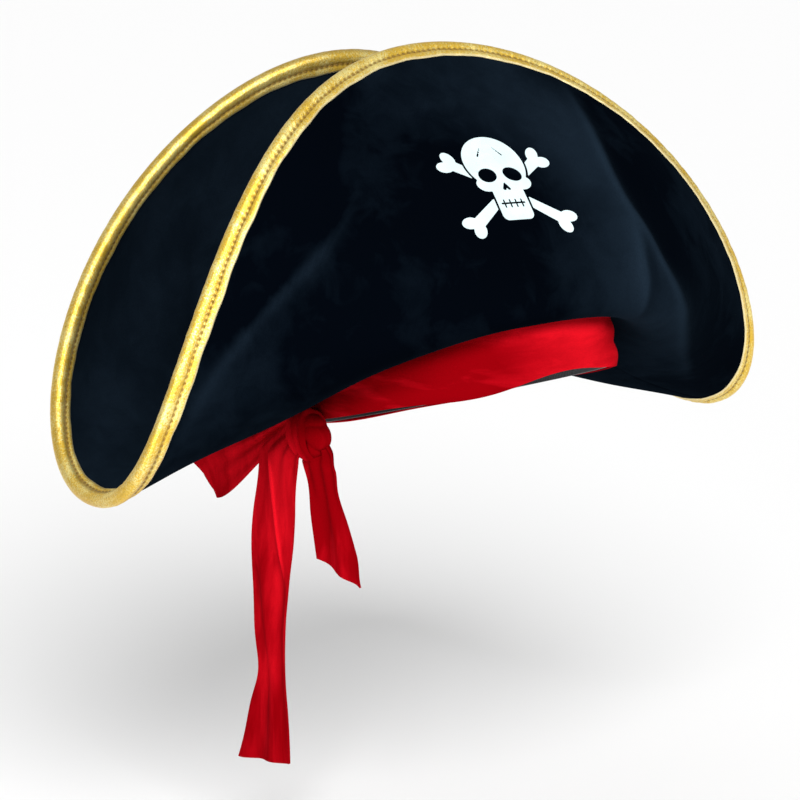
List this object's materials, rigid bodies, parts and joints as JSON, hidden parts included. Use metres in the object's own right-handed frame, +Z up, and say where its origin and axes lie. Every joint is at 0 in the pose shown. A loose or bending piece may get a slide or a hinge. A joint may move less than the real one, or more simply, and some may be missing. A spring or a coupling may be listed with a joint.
{
  "type": "pirate hat",
  "caption": "Black velvet two-horned pirate hat with turned-up brim, gold edge binding, printed skull and crossbones, and a knotted red sash with hanging tails.",
  "frame": {"origin": "centre of the head opening, on the lower edge of the sash band", "axes": "+Z up as worn on an upright head, -Y the way the wearer faces, +X the wearer's left; the hat is tipped back 18 degrees about X"},
  "size_m": [0.411, 0.2305, 0.3846],
  "materials": {
    "black_velvet": "crushed black velvet with a blue cast",
    "lining_satin": "thin black lining satin",
    "sweatband_tape": "black grosgrain tape",
    "brim_foam": "dark laminated foam sheet",
    "gold_lame": "metallic gold woven binding",
    "gold_thread": "gold sewing thread",
    "black_thread": "black sewing thread",
    "white_print": "flat white heat-transfer print",
    "red_velvet": "soft red velvet ribbon"
  },
  "bodies": {
    "hat": {"crown_side": "black_velvet", "crown_top": "black_velvet", "lining_side": "lining_satin", "lining_top": "lining_satin", "sweatband": "sweatband_tape", "front_brim_core": "brim_foam", "front_brim_outer": "black_velvet", "front_brim_inner": "black_velvet", "back_brim_core": "brim_foam", "back_brim_outer": "black_velvet", "back_brim_inner": "black_velvet", "edge_binding": "gold_lame", "binding_stitches": "gold_thread", "front_tacks": "black_thread", "back_tacks": "black_thread", "skull_print": "white_print", "crossbones_print": "white_print", "sash_band": "red_velvet", "sash_knot": "red_velvet"},
    "loop": {"bow_loop": "red_velvet"},
    "long_upper": {"long_tail_upper": "red_velvet"},
    "long_middle": {"long_tail_middle": "red_velvet"},
    "long_lower": {"long_tail_lower": "red_velvet"},
    "short_upper": {"short_tail_upper": "red_velvet"},
    "short_lower": {"short_tail_lower": "red_velvet"}
  },
  "joints": [
    {"name": "loop_swing", "type": "hinge", "parent": "hat", "child": "loop", "pos_m": [-0.089, 0.019, -0.012], "axis": [0, 0, 1], "range_deg": [-20, 4]},
    {"name": "long_swing", "type": "hinge", "parent": "hat", "child": "long_upper", "pos_m": [-0.099, 0.019, -0.022], "axis": [0, 1, 0], "range_deg": [-8, 45]},
    {"name": "long_bend", "type": "hinge", "parent": "long_upper", "child": "long_middle", "pos_m": [-0.099, 0.0274, -0.078], "axis": [0, 1, 0], "range_deg": [-15, 25]},
    {"name": "long_curl", "type": "hinge", "parent": "long_middle", "child": "long_lower", "pos_m": [-0.099, 0.03, -0.134], "axis": [0, 1, 0], "range_deg": [-15, 25]},
    {"name": "short_swing", "type": "hinge", "parent": "hat", "child": "short_upper", "pos_m": [-0.095, -0.011, -0.022], "axis": [0, 1, 0], "range_deg": [-8, 45]},
    {"name": "short_bend", "type": "hinge", "parent": "short_upper", "child": "short_lower", "pos_m": [-0.095, -0.021, -0.049], "axis": [0, 1, 0], "range_deg": [-15, 25]}
  ]
}
